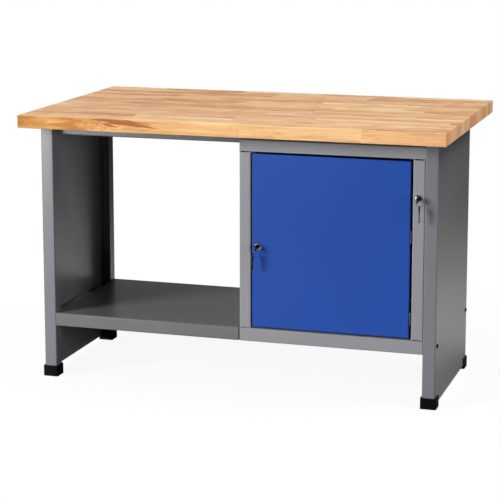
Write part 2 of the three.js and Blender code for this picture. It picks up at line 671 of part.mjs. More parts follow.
function addTurningPieces(name, lock, camUp) {
  const plugEnd = CAM_PLANE - SEAT_GAP;
  const camEnd = CAM_PLANE + CAM_SHEET;
  const screwBore = CAM_SCREW_RADIUS + LOCK_CLEARANCE;
  const plug = alongY(disc(0, 0, PLUG_RADIUS), -ROSETTE_HEIGHT + LOCK_CLEARANCE, plugEnd);
  const keyway = block(
    -KEY_SHEET / 2 - LOCK_CLEARANCE, KEY_SHEET / 2 + LOCK_CLEARANCE,
    -2 * ROSETTE_HEIGHT, KEY_BLADE_DEPTH + LOCK_CLEARANCE,
    -KEY_BLADE_WIDTH / 2 - LOCK_CLEARANCE, KEY_BLADE_WIDTH / 2 + LOCK_CLEARANCE,
  );
  const headSeat = camEnd + SEAT_GAP;
  const screwTip = headSeat - CAM_SCREW_LENGTH;
  const screwHole = alongY(disc(0, 0, screwBore, SMALL_SIDES), screwTip - LOCK_CLEARANCE, camEnd);
  addPart(`${name}_lock_plug`, cut(plug, keyway, screwHole), NICKEL, lock);
  const half = CAM_WIDTH / 2;
  const far = camUp * (CAM_LENGTH - half);
  const arm = new THREE.Shape();
  arm.absarc(0, Math.max(far, 0), half, 0, Math.PI);
  arm.absarc(0, Math.min(far, 0), half, Math.PI, 2 * Math.PI);
  arm.holes.push(new THREE.Path(circlePoints(0, 0, screwBore, SMALL_SIDES)));
  addPart(`${name}_lock_cam`, alongY(arm, CAM_PLANE, camEnd), STEEL, lock);
  const headEnd = headSeat + CAM_SCREW_HEAD;
  const screw = [
    [0, screwTip], [CAM_SCREW_RADIUS, screwTip], [CAM_SCREW_RADIUS, headSeat],
    [CAM_SCREW_HEAD_RADIUS, headSeat], [CAM_SCREW_HEAD_RADIUS, headEnd - CAM_SCREW_HEAD / 2],
    [CAM_SCREW_RADIUS, headEnd], [0, headEnd],
  ];
  addPart(`${name}_lock_cam_screw`, turned(screw, SMALL_SIDES), STEEL, lock);
  addPart(`${name}_key`, keyGeometry(), STEEL, lock);
}

// The ring rests in the hole of the key in the lock, and the spare key hangs from the ring's lowest point
function addSpareKey(name, lock, hand) {
  const lean = RING_RADIUS * Math.SQRT1_2;
  const centreZ = -RING_SAG - lean;
  const wire = circlePoints(RING_RADIUS, 0, RING_WIRE_RADIUS, SMALL_SIDES / 2).map(({ x, y }) => [x, y]);
  const ring = addPart(`${name}_key_ring`, turned([...wire, wire[0]], 2 * SMALL_SIDES), STEEL, lock);
  ring.position.set(hand * lean, keyHoleY(), centreZ);
  const spare = addPart(`${name}_spare_key`, keyGeometry(), STEEL, lock);
  const holeZ = centreZ - RING_RADIUS - KEY_HOLE_RADIUS + RING_WIRE_RADIUS + RING_REST_GAP;
  spare.rotation.x = -Math.PI / 2;
  spare.position.set(hand * lean, keyHoleY(), holeZ + keyHoleY());
}

// Round-headed bolt through a post and the tray beside it, with its nut; both lie along X
function addBolt(name, side, y) {
  const length = POST_WIDTH + TRAY_SHEET + NUT_HEIGHT + BOLT_TAIL;
  const profile = [
    [0, -length], [BOLT_RADIUS, -length], [BOLT_RADIUS, SEAT_GAP], [BOLT_HEAD_RADIUS, SEAT_GAP],
    [BOLT_HEAD_RADIUS, BOLT_HEAD_HEIGHT / 3], [BOLT_HEAD_RADIUS / 2, BOLT_HEAD_HEIGHT],
    [0, BOLT_HEAD_HEIGHT],
  ];
  const bolt = addPart(`${name}_bolt`, turned(profile, SMALL_SIDES), DARK_STEEL);
  bolt.rotation.z = (-side * Math.PI) / 2;
  bolt.position.set(side * LEG_OUTER_X, y, BOLT_Z);
  const seat = LEG_INNER_X - TRAY_SHEET - SEAT_GAP;
  const from = Math.min(side * seat, side * (seat - NUT_HEIGHT));
  const nut = alongX(hexNut(NUT_WIDTH, BOLT_RADIUS + LOCK_CLEARANCE), from, from + NUT_HEIGHT);
  addPart(`${name}_nut`, nut.translate(0, y, BOLT_Z), DARK_STEEL);
}

addWorktop();
[['left', -1], ['right', 1]].forEach(([hand, side]) => {
  addLeg(`${hand}_leg`, side);
  [[FRONT, FRONT_BOLT_Y], [REAR, REAR_BOLT_Y]].forEach(([end, boltY]) => {
    addFoot(`foot_${end}_${hand}`, side, end);
    addBolt(`${end}_${hand}`, side, boltY);
  });
});
addRail('front_rail', RAIL_FRONT_Y, 1);
addRail('rear_rail', RAIL_REAR_Y, -1);
addLowerShelf();
addCabinetFloor();
addCabinetTop();
addCabinetWall('cabinet_left_wall', CABINET_LEFT, 1, true, []);
addCabinetWall('cabinet_right_wall', CABINET_RIGHT, -1, false, [lockHole(frameLockX, frameLockZ)]);
addCabinetBack();
addInnerShelf();
addDoor();
addHinge('upper_hinge', DOOR_TOP - UPPER_HINGE_DROP);
addHinge('lower_hinge', DOOR_BOTTOM + LOWER_HINGE_RISE);
addLock('door', doorLockX, doorLockZ, DOOR_SHEET, -1, -1);
addLock('frame', frameLockX, frameLockZ, CABINET_SHEET, 1, 1);

export default workbench;
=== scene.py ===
"""Workbench with a lockable cabinet: finishes, fine pieces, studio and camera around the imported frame."""
import json
import math

import bmesh
import bpy
from mathutils import Matrix, Vector


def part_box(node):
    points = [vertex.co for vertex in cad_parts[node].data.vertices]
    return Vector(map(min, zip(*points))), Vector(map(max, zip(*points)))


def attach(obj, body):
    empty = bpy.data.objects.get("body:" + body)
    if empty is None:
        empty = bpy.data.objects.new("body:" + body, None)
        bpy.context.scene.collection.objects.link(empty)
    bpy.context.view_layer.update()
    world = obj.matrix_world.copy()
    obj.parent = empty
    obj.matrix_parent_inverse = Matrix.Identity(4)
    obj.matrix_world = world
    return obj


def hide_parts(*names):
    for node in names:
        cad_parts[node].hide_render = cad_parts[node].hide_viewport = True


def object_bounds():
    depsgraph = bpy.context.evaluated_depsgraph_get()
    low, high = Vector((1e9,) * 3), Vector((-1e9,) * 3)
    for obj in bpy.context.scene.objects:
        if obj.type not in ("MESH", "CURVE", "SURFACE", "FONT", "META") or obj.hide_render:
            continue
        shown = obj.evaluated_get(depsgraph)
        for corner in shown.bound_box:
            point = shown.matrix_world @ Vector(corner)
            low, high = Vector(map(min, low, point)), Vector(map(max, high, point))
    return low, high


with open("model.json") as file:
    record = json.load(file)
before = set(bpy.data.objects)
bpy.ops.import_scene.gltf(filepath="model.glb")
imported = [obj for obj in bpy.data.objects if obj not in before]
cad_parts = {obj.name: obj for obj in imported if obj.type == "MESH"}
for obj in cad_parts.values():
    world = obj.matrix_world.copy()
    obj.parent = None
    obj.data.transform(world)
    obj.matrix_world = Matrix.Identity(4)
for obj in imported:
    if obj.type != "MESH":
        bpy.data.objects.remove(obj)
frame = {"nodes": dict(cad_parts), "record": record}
cad_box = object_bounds()
scene = bpy.context.scene
SLOT_OF = {part["node"]: part["material_slot"] for part in frame["record"]["subparts"]}
BODY_OF = {node: body for body, nodes in frame["record"]["behaviour"]["bodies"].items() for node in nodes}

# Lengths are in metres and colours are sRGB from 0 to 255. A relief is a bump's strength and depth.

# Noise lies mostly within this span
NOISE_SPAN = (0.3, 0.7)

# Worktop: staves run along X, and each row of them starts at its own place and has its own stave length
STAVE_WIDTH = 0.042
STAVE_LENGTH = 0.34
FIRST_STAVE_TRIM = 0.006
ROW_SEED = (7.0, 3.0)
ROW_SHIFT = 37.0
ROW_FILL_LEAST = 0.75
ROW_FILL_SPREAD = 0.5
STAVE_SEED = 1.0
STAVE_TONES = [
    (0.00, (198, 150, 110)),
    (0.20, (214, 168, 128)),
    (0.40, (218, 172, 141)),
    (0.60, (228, 186, 142)),
    (0.80, (229, 189, 154)),
    (1.00, (243, 210, 164)),
]
GRAIN_BROWN = (150, 96, 56)
GRAIN_PALE = (250, 216, 164)
GRAIN_ROSE = (206, 140, 108)

# Grain of a stave: waves per metre along X, Y and Z, detail and roughness
GRAIN_LAYERS = {
    "streaks": ((5.0, 130.0, 130.0), 5.0, 0.65),
    "strands": ((9.0, 44.0, 90.0), 4.0, 0.60),
    "bands": ((4.0, 34.0, 34.0), 3.0, 0.50),
    "clouds": ((14.0, 60.0, 60.0), 3.0, 0.60),
    "flecks": ((150.0, 700.0, 700.0), 2.0, 0.50),
}
# Tints laid over the plain wood one by one: layer, where it sets in, where it is full, share there, tone
GRAIN_TINTS = [
    ("streaks", 0.48, 0.72, 0.45, GRAIN_BROWN),
    ("strands", 0.53, 0.66, 0.45, GRAIN_BROWN),
    ("strands", 0.47, 0.32, 0.50, GRAIN_PALE),
    ("bands", 0.50, 0.72, 0.40, GRAIN_PALE),
    ("clouds", 0.52, 0.72, 0.35, GRAIN_ROSE),
    ("rings", 0.60, 1.00, 0.18, GRAIN_BROWN),
    ("flecks", 0.58, 0.70, 0.30, GRAIN_BROWN),
]
RING_SPACING = 0.0045
RING_WANDER = 0.012
HEART_SPREAD_Y = 0.10
HEART_SPREAD_Z = 0.12
HEART_LOWEST = 0.78
GLUE_LINE = 0.0009
GLUE_SHARE = 0.55
BUTT_LINE = 0.006
BUTT_SHARE = 0.30
STREAK_RELIEF = 0.6
FLECK_RELIEF = 0.4
WOOD_RELIEF = (0.12, 0.0006)
WOOD_ROUGHNESS = (0.42, 0.56)
OIL_SHEEN = 0.2

# Front edge of the worktop: tones along X, one stave with ray flecks, and streaks of heartwood
FRONT_FACING = (-0.5, -0.8)
FRONT_TONES = [
    (-0.670, (182, 118, 44)),
    (-0.570, (208, 150, 76)),
    (-0.490, (184, 120, 46)),
    (-0.420, (220, 164, 96)),
    (-0.200, (230, 178, 116)),
    (0.400, (246, 198, 140)),
    (0.670, (236, 178, 126)),
]
FRONT_CALM = 0.28
FRONT_DRIFT = 0.16
RAY_STAVE = (-0.467, -0.330)
RAY_FADE_LEFT = 0.004
RAY_FADE_RIGHT = 0.06
RAY_SLANT = 0.8
RAY_WAVES = (240.0, 60.0, 60.0)
RAY_EDGES = (0.50, 0.62)
RAY_SHARE = 0.45
RAY_TONE = (150, 84, 26)
HEARTWOOD_TONE = (150, 64, 16)
HEARTWOOD_SHARE = 0.80
HEARTWOOD_WOBBLE = 0.012
HEARTWOOD_THINNEST = 0.0006
HEARTWOOD_EDGES = (0.5, 1.2)
HEARTWOOD_END = 0.03
HEARTWOOD_WIDE_FROM = 0.25
HEARTWOOD_WIDE_TO = 0.45
# Start and end of each streak as (x, z), and half its width
HEARTWOOD_STREAKS = [
    ((-0.412, 0.851), (-0.195, 0.824), 0.0086),
    ((-0.432, 0.849), (-0.370, 0.842), 0.0038),
    ((-0.390, 0.837), (-0.335, 0.824), 0.0034),
    ((-0.325, 0.849), (-0.230, 0.838), 0.0018),
]

# Short ends of the worktop: end grain with its rings, in tones paler than the side grain, which is painted
# light on the ends
END_FACING = (0.6, 0.9)
END_GRAIN_PAINTED_LIGHT_TONES = [(0.0, (236, 172, 126)), (0.5, (255, 202, 156)), (1.0, (255, 218, 174))]
END_GRAIN_PAINTED_LIGHT_SHARE = 0.9
END_RING_EDGES = (0.50, 1.0)
END_RING_SHARE = 0.22

# Powder coat
CABINET_GREY = (140, 140, 145)
LEG_GREY = (115, 117, 123)
SHELF_GREY = (107, 107, 107)
DOOR_BLUE = (34, 75, 161)
PAINT_SHEEN = 0.5
DOOR_SHEEN = 0.2
PAINT_CLOUDS = 3.0
PAINT_MOTTLE = 0.015
PAINT_GLOSS_PLAY = 0.01
PAINT_GRAIN = 750.0
PAINT_RELIEF = (0.08, 0.0004)

# Moulded plastic
FOOT_BLACK = (5, 5, 6)
FOOT_SCUFFED = (9, 9, 10)
PLASTIC_SHEEN = 0.10
PLASTIC_ROUGHNESS = (0.52, 0.64)
PLASTIC_CLOUDS = 30.0
PLASTIC_GRAIN = 900.0
PLASTIC_RELIEF = (0.15, 0.0004)

# Plated metal
ZINC = (92, 92, 91)
NICKEL = (176, 172, 163)
DARK_OXIDE = (40, 40, 42)
PLUG_BRASS = (58, 52, 42)
METAL_CLOUDS = 140.0
METAL_TARNISH = 0.86
BRUSH_WAVES = (1800.0, 1800.0, 160.0)
BRUSH_SMOOTHER = 0.06
BRUSH_ROUGHER = 0.08
BRUSH_DEPTH = 0.0002

# Sheet pieces, worktop and feet
WELD = 0.00001
FLAT_ANGLE = math.radians(1)
BEND_ANGLE = math.radians(40)
ARRIS_STEPS = 2
BOARD_ARRIS_STEPS = 4
WORKTOP_ARRIS = 0.002
FOOT_ARRIS = 0.0008
TOP_RAIL_ROOT = 0.780
TOP_RAIL_SLIT = 0.006
TOP_RAIL_LEAN = 0.004
SEAM_PLAY = 0.0002
SEAM_INSET = 0.003
SEAM_ARRIS = 0.0008

# Locks: an edge gives points as (radius beyond the plug or the rosette, depth behind the lock's face)
TURNED_STEPS = 48
WIRE_STEPS = 12
PLUG_RADIUS = 0.006
PLUG_EDGE = [(0.0003, 0.0008), (0.0008, 0.0002), (0.0014, 0.0)]
ROSETTE_EDGE = [(-0.0030, 0.0002), (-0.0012, 0.0008), (-0.0003, 0.0015), (0.0, 0.0023)]
ROSETTE_BACK = 0.0024
BARREL_RADIUS = 0.009

# Keys
KEY_LENGTH = 0.052
KEY_SHEET = 0.0022
KEY_ARRIS = 0.00025
KEY_BLADE_WIDTH = 0.008
KEY_TIP = 0.0025
KEY_BOW_LENGTH = 0.024
KEY_BOW_WIDTH = 0.020
KEY_HOLE_RADIUS = 0.0048
KEY_HOLE_INSET = 0.0068
KEY_CUT_PITCH = 0.003
KEY_CUTS = (0.0008, 0.0024, 0.0016, 0.0008, 0.0024)
BOW_STEPS = 64

# Bolts: the dome gives points as (share of the head's radius, depth below its crown)
BOLT_SOCKET = 0.0026
BOLT_SOCKET_SIDES = 6
BOLT_SOCKET_DEPTH = 0.0022
BOLT_SOCKET_LIP = 0.0002
BOLT_SOCKET_CHAMFER = 0.0006
BOLT_DOME = [(0.62, 0.0003), (0.80, 0.0010), (0.93, 0.0021), (1.0, 0.0033)]
BOLT_HEAD = 0.0039
BOLT_SHANK = 0.004

# Rivets and screws: a head is its radius and height
HEAD_SEGMENTS = 16
RIVET_HEAD = (0.004, 0.0016)
RIVET_COUNT = 6
RIVET_INSET = 0.0075
RIVET_END_GAP = 0.035
LEG_SHEET = 0.002
SCREW_HEAD = (0.0045, 0.0025)
SCREW_COUNT = 4
SCREW_INSET = 0.015
SCREW_END_GAP = 0.030
HINGE_LEAF = 0.0012
HINGE_SCREW_HEAD = (0.0022, 0.0004)
HINGE_SCREW_COUNT = 2
HINGE_SCREW_INSET = 0.006
HINGE_SCREW_PITCH = 0.022

# Camera, fitted to the photograph's 500 x 500 frame
FRAME_PIXELS = 500
FOCAL_PIXELS = 1759.7
OPTICAL_AXIS_ROW = 175
CAMERA_PLACE = (1.6079, -5.3236, 1.5715)
CAMERA_AZIMUTH = 17.223
CAMERA_PITCH = 9.592
SENSOR_WIDTH = 36.0

# Studio: a reach is where a change of the floor begins and ends, from the middle of the bench outwards
WHITE_LIGHT = (1.0, 1.0, 1.0)
WARM_LIGHT = (1.0, 0.96, 0.91)
ROOM_LIGHT = 0.02
BACKDROP_GLOW = 0.185
FLOOR_SIZE = 30.0
FLOOR_PAINT = (90, 90, 90)
FLOOR_WHITE = (250, 250, 250)
FLOOR_ROUGHNESS = 0.9
# In reflections the floor is painted white round the bench and greyer further out, a painted pool of light,
# and darker right by the bench, a painted contact shadow
FLOOR_PAINTED_LIGHT_POOL_REACH = (0.5, 3.6)
FLOOR_PAINTED_CONTACT_SHADOW_REACH = (0.65, 0.97)
FLOOR_PAINTED_CONTACT_SHADOW = 0.25
FLOOR_SHADOW_DEPTH = 0.08
FLOOR_SHADOW_REACH = (0.9, 1.7)


def linear(colour):
    """Scene-linear RGBA of an sRGB colour given as 0 to 255."""
    def channel(value):
        value /= 255
        return value / 12.92 if value <= 0.04045 else ((value + 0.055) / 1.055) ** 2.4
    return (*map(channel, colour), 1.0)


class Finish:
    """A material and short calls that add its nodes."""

    def __init__(self, name):
        self.material = bpy.data.materials.new(name)
        self.material.use_nodes = True
        self.tree = self.material.node_tree
        self.shader = self.tree.nodes["Principled BSDF"]

    def node(self, kind, inputs=(), **settings):
        node = self.tree.nodes.new(kind)
        for key, value in settings.items():
            setattr(node, key, value)
        for key, value in dict(inputs).items():
            self.put(node.inputs[key], value)
        return node

    def put(self, socket, value):
        if isinstance(value, bpy.types.NodeSocket):
            self.tree.links.new(value, socket)
        else:
            socket.default_value = value

    def math(self, operation, first, second=0.0, third=0.0):
        inputs = {0: first, 1: second, 2: third}
        return self.node("ShaderNodeMath", inputs, operation=operation).outputs[0]

    def vector(self, operation, first, second):
        inputs = {0: first, 1: second}
        return self.node("ShaderNodeVectorMath", inputs, operation=operation).outputs[0]

    def length(self, vector):
        return self.node("ShaderNodeVectorMath", {0: vector}, operation="LENGTH").outputs["Value"]

    def place(self):
        return self.node("ShaderNodeTexCoord").outputs["Object"]

    def facing(self):
        return self.node("ShaderNodeTexCoord").outputs["Normal"]

    def split(self, vector):
        return self.node("ShaderNodeSeparateXYZ", {0: vector}).outputs

    def join(self, x, y, z):
        return self.node("ShaderNodeCombineXYZ", {0: x, 1: y, 2: z}).outputs[0]

    def noise(self, vector, scale, detail, roughness=0.5):
        inputs = {"Vector": vector, "Scale": scale, "Detail": detail, "Roughness": roughness}
        return self.node("ShaderNodeTexNoise", inputs).outputs["Fac"]

    def grain(self, vector, waves, detail, roughness=0.5):
        """Noise with its own number of waves per metre along X, Y and Z."""
        return self.noise(self.vector("MULTIPLY", vector, waves), 1.0, detail, roughness)

    def random(self, vector):
        return self.node("ShaderNodeTexWhiteNoise", {"Vector": vector}).outputs

    def remap(self, value, low, high, to_low=0.0, to_high=1.0, smooth=True):
        inputs = {"Value": value, 1: low, 2: high, 3: to_low, 4: to_high}
        kind = "SMOOTHSTEP" if smooth else "LINEAR"
        return self.node("ShaderNodeMapRange", inputs, interpolation_type=kind).outputs[0]

    def mix(self, share, first, second):
        node = self.node("ShaderNodeMix", data_type="RGBA")
        for key, value in (("Factor_Float", share), ("A_Color", first), ("B_Color", second)):
            self.put(next(s for s in node.inputs if s.identifier == key), value)
        return next(s for s in node.outputs if s.identifier == "Result_Color")

    def ramp(self, value, stops):
        node = self.node("ShaderNodeValToRGB", {0: value})
        elements = node.color_ramp.elements
        while len(elements) < len(stops):
            elements.new(0.5)
        for element, (position, colour) in zip(elements, stops):
            element.position = position
            element.color = linear(colour)
        return node.outputs["Color"]

    def bump(self, height, strength, distance):
        inputs = {"Height": height, "Strength": strength, "Distance": distance}
        return self.node("ShaderNodeBump", inputs).outputs["Normal"]

    def surface(self, **inputs):
        for key, value in inputs.items():
            self.put(self.shader.inputs[key.replace("_", " ")], value)
        return self.material


def laminated_beech():
    """Finger-wide staves of beech, glued side by side and end to end."""
    finish = Finish("laminated_beech")
    place = finish.place()
    x, y, z = finish.split(place)
    front_y = cad_box[0].y - FIRST_STAVE_TRIM
    row_place = finish.math("DIVIDE", finish.math("SUBTRACT", y, front_y), STAVE_WIDTH)
    row = finish.math("FLOOR", row_place)
    row_luck = finish.random(finish.join(row, *ROW_SEED))["Value"]
    fill = finish.math("MULTIPLY_ADD", row_luck, ROW_FILL_SPREAD, ROW_FILL_LEAST)
    shift = finish.math("MULTIPLY", row_luck, ROW_SHIFT)
    run = finish.math("MULTIPLY_ADD", finish.math("DIVIDE", x, STAVE_LENGTH), fill, shift)
    luck = finish.random(finish.join(finish.math("FLOOR", run), row, STAVE_SEED))

    own_place = finish.vector("ADD", place, luck["Color"])
    layers = {name: finish.grain(own_place, *layer) for name, layer in GRAIN_LAYERS.items()}
    layers["rings"] = growth_rings(finish, row, y, z, luck["Color"], layers["bands"])

    facing_x, facing_y, _ = finish.split(finish.facing())
    first_row = finish.math("LESS_THAN", row, 0.5)
    front = finish.math("MULTIPLY", first_row, finish.remap(facing_y, *FRONT_FACING))
    stave_tone = finish.ramp(luck["Value"], STAVE_TONES)
    plain = finish.mix(front, stave_tone, front_tone(finish, x, layers["clouds"]))
    wood = plain
    for layer, begin, full, share, tone in GRAIN_TINTS:
        wood = finish.mix(finish.remap(layers[layer], begin, full, 0.0, share), wood, linear(tone))
    wood = finish.mix(finish.math("MULTIPLY", front, FRONT_CALM), wood, plain)
    wood = finish.mix(glue_lines(finish, row_place, run, front), wood, linear(GRAIN_BROWN))

    rays = finish.math("MULTIPLY", ray_flecks(finish, x, y, z), front)
    wood = finish.mix(rays, wood, linear(RAY_TONE))
    for streak in HEARTWOOD_STREAKS:
        share = finish.math("MULTIPLY", heartwood(finish, x, z, layers["streaks"], *streak), front)
        wood = finish.mix(share, wood, linear(HEARTWOOD_TONE))

    # End faces: the end grain's own rings, in pale tones that are painted light
    end_rings = finish.remap(layers["rings"], *END_RING_EDGES, 0.0, END_RING_SHARE)
    end_grain_with_painted_light = finish.mix(end_rings, finish.ramp(luck["Value"], END_GRAIN_PAINTED_LIGHT_TONES), linear(GRAIN_BROWN))
    end_face = finish.remap(finish.math("ABSOLUTE", facing_x), *END_FACING, 0.0, END_GRAIN_PAINTED_LIGHT_SHARE)
    wood = finish.mix(end_face, wood, end_grain_with_painted_light)

    relief = finish.math("MULTIPLY", layers["flecks"], FLECK_RELIEF)
    relief = finish.math("MULTIPLY_ADD", layers["streaks"], STREAK_RELIEF, relief)
    gloss = finish.remap(layers["streaks"], *NOISE_SPAN, *WOOD_ROUGHNESS, smooth=False)
    return finish.surface(Base_Color=wood, Roughness=gloss, Specular_IOR_Level=OIL_SHEEN,
                          Normal=finish.bump(relief, *WOOD_RELIEF))


def growth_rings(finish, row, y, z, luck, wander):
    """Year rings around a heart that each stave has at its own place."""
    luck_y, luck_z, _ = finish.split(luck)
    row_y = finish.math("MULTIPLY_ADD", row, STAVE_WIDTH, cad_box[0].y)
    heart_y = finish.math("MULTIPLY_ADD", luck_y, HEART_SPREAD_Y, row_y)
    heart_z = finish.math("MULTIPLY_ADD", luck_z, HEART_SPREAD_Z, HEART_LOWEST)
    away = finish.join(finish.math("SUBTRACT", y, heart_y), finish.math("SUBTRACT", z, heart_z), 0.0)
    reach = finish.math("MULTIPLY_ADD", wander, RING_WANDER, finish.length(away))
    return finish.math("PINGPONG", finish.math("DIVIDE", reach, RING_SPACING), 1.0)


def front_tone(finish, x, clouds):
    """Tone of the front edge from left to right, with ragged changes from one to the next."""
    low_x, high_x = cad_box[0].x, cad_box[1].x
    drifted = finish.math("MULTIPLY_ADD", finish.math("SUBTRACT", clouds, 0.5), FRONT_DRIFT, x)
    along = finish.remap(drifted, low_x, high_x, smooth=False)
    return finish.ramp(along, [((at - low_x) / (high_x - low_x), tone) for at, tone in FRONT_TONES])


def glue_lines(finish, row_place, run, front):
    """Share of the lines between the rows, and of the fainter butt joints, which the front edge hides."""
    edge = finish.math("ABSOLUTE", finish.math("SUBTRACT", finish.math("FRACT", row_place), 0.5))
    glue = finish.remap(edge, 0.5 - GLUE_LINE / STAVE_WIDTH, 0.5, 0.0, GLUE_SHARE)
    butt = finish.remap(finish.math("FRACT", run), 0.0, BUTT_LINE, BUTT_SHARE, 0.0)
    butt = finish.math("MULTIPLY", butt, finish.math("SUBTRACT", 1.0, front))
    return finish.math("MAXIMUM", glue, butt)


def ray_flecks(finish, x, y, z):
    """Share of the slanting flecks in one stave of the front edge."""
    slant_x = finish.math("MULTIPLY_ADD", z, RAY_SLANT, x)
    slant_z = finish.math("MULTIPLY_ADD", x, -RAY_SLANT, z)
    rays = finish.grain(finish.join(slant_x, slant_z, y), RAY_WAVES, detail=1.0)
    left, right = RAY_STAVE
    beside = finish.math("MULTIPLY", finish.remap(x, left, left + RAY_FADE_LEFT),
                         finish.remap(x, right, right - RAY_FADE_RIGHT))
    return finish.math("MULTIPLY", finish.remap(rays, *RAY_EDGES, 0.0, RAY_SHARE), beside)


def heartwood(finish, x, z, streaks, start, end, half_width):
    """Share of a reddish streak that runs down the front edge of the worktop from start to end."""
    along = finish.remap(x, start[0], end[0], smooth=False)
    line = finish.math("MULTIPLY_ADD", along, end[1] - start[1], start[1])
    wobble = finish.math("MULTIPLY_ADD", streaks, HEARTWOOD_WOBBLE, -HEARTWOOD_WOBBLE / 2)
    away = finish.math("ABSOLUTE", finish.math("SUBTRACT", finish.math("ADD", z, wobble), line))
    taper = finish.math("MULTIPLY", finish.remap(along, 0.0, HEARTWOOD_WIDE_FROM),
                        finish.remap(along, 1.0, HEARTWOOD_WIDE_TO))
    half = finish.math("MULTIPLY_ADD", taper, half_width, HEARTWOOD_THINNEST)
    ends = finish.math("MULTIPLY", finish.remap(along, 0.0, HEARTWOOD_END),
                       finish.remap(along, 1.0, 1.0 - HEARTWOOD_END))
    share = finish.remap(finish.math("DIVIDE", away, half), *HEARTWOOD_EDGES, HEARTWOOD_SHARE, 0.0)
    return finish.math("MULTIPLY", share, ends)


def powder_coat(name, colour, roughness, sheen=PAINT_SHEEN):
    """Baked paint with a faint mottle and the fine orange-peel skin of a powder coat."""
    finish = Finish(name)
    place = finish.place()
    cloud = finish.noise(place, PAINT_CLOUDS, detail=1.0)
    grain = finish.noise(place, PAINT_GRAIN, detail=2.0)
    lighter = tuple(min(255, channel * (1 + PAINT_MOTTLE)) for channel in colour)
    darker = tuple(channel * (1 - PAINT_MOTTLE) for channel in colour)
    paint = finish.mix(finish.remap(cloud, *NOISE_SPAN), linear(darker), linear(lighter))
    gloss = finish.remap(cloud, *NOISE_SPAN, roughness - PAINT_GLOSS_PLAY, roughness + PAINT_GLOSS_PLAY,
                         smooth=False)
    return finish.surface(Base_Color=paint, Roughness=gloss, Specular_IOR_Level=sheen,
                          Normal=finish.bump(grain, *PAINT_RELIEF))


def moulded_plastic():
    """Black plastic with a fine grain, a little scuffed."""
    finish = Finish("black_plastic")
    place = finish.place()
    grain = finish.noise(place, PLASTIC_GRAIN, detail=2.0)
    cloud = finish.noise(place, PLASTIC_CLOUDS, detail=2.0)
    colour = finish.mix(finish.remap(cloud, *NOISE_SPAN), linear(FOOT_BLACK), linear(FOOT_SCUFFED))
    gloss = finish.remap(cloud, *NOISE_SPAN, *PLASTIC_ROUGHNESS, smooth=False)
    return finish.surface(Base_Color=colour, Roughness=gloss, Specular_IOR_Level=PLASTIC_SHEEN,
                          Normal=finish.bump(grain, *PLASTIC_RELIEF))


def plated_metal(name, colour, roughness, brush):
    """Plated metal with fine brush marks along Z and a faint cloudiness."""
    finish = Finish(name)
    place = finish.place()
    marks = finish.grain(place, BRUSH_WAVES, detail=2.0)
    cloud = finish.noise(place, METAL_CLOUDS, detail=2.0)
    darker = tuple(channel * METAL_TARNISH for channel in colour)
    metal = finish.mix(finish.remap(cloud, *NOISE_SPAN), linear(darker), linear(colour))
    gloss = finish.remap(marks, *NOISE_SPAN, roughness - BRUSH_SMOOTHER, roughness + BRUSH_ROUGHER,
                         smooth=False)
    return finish.surface(Base_Color=metal, Metallic=1.0, Roughness=gloss,
                          Normal=finish.bump(marks, brush, BRUSH_DEPTH))


def all_finishes():
    """Finishes by the record's material slot, and the plug's by its own name."""
    return {
        "worktop": laminated_beech(),
        "leg_paint": powder_coat("leg_powder_coat", LEG_GREY, roughness=0.30),
        "shelf_paint": powder_coat("shelf_powder_coat", SHELF_GREY, roughness=0.22),
        "cabinet_paint": powder_coat("cabinet_powder_coat", CABINET_GREY, roughness=0.36),
        "door_paint": powder_coat("blue_powder_coat", DOOR_BLUE, roughness=0.40, sheen=DOOR_SHEEN),
        "foot": moulded_plastic(),
        "steel": plated_metal("zinc_plate", ZINC, roughness=0.42, brush=0.08),
        "lock": plated_metal("nickel_plate", NICKEL, roughness=0.20, brush=0.03),
        "bolt": plated_metal("dark_oxide", DARK_OXIDE, roughness=0.45, brush=0.05),
        "plug": plated_metal("worn_brass", PLUG_BRASS, roughness=0.40, brush=0.10),
    }


def dress_frame():
    for node, slot in SLOT_OF.items():
        materials = frame["nodes"][node].data.materials
        materials.clear()
        materials.append(finishes[slot])


def settle(piece):
    """Turns the piece's modifiers into plain mesh."""
    evaluated = piece.evaluated_get(bpy.context.evaluated_depsgraph_get())
    raw = piece.data
    piece.data = bpy.data.meshes.new_from_object(evaluated)
    piece.modifiers.clear()
    bpy.data.meshes.remove(raw)


def add_piece(name, mesh, body, finish):
    mesh.materials.clear()
    mesh.materials.append(finish)
    piece = bpy.data.objects.new(name, mesh)
    scene.collection.objects.link(piece)
    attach(piece, body)
    return piece


def soften(mesh):
    """Smooth shading over the bends, with crisp sheet edges."""
    mesh.shade_smooth()
    mesh.set_sharp_from_angle(angle=BEND_ANGLE)


def stand_in(node, mesh, finish=None, rounding=0.0):
    """A finer piece in place of a CAD node, with rounded arrises if a rounding is given."""
    soften(mesh)
    slot = SLOT_OF[node]
    piece = add_piece(f"{node}_finished", mesh, BODY_OF[node], finish or finishes[slot])
    if rounding:
        bevel = piece.modifiers.new("arris", "BEVEL")
        bevel.width = rounding
        bevel.segments = ARRIS_STEPS
        bevel.limit_method = "ANGLE"
        bevel.angle_limit = BEND_ANGLE
    piece.modifiers.new("flat_faces", "WEIGHTED_NORMAL").keep_sharp = True
    settle(piece)
    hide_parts(node)


def mesh_from(shape, name):
    mesh = bpy.data.meshes.new(name)
    shape.to_mesh(mesh)
    shape.free()
    return mesh


def welded(node, whole_faces=False):
    """The node's own shape as one closed skin, with flat areas as single faces if wanted."""
    shape = bmesh.new()
    shape.from_mesh(frame["nodes"][node].data)
    bmesh.ops.remove_doubles(shape, verts=shape.verts, dist=WELD)
    if whole_faces:
        bmesh.ops.dissolve_limit(shape, angle_limit=FLAT_ANGLE, verts=shape.verts, edges=shape.edges)
    return mesh_from(shape, node)


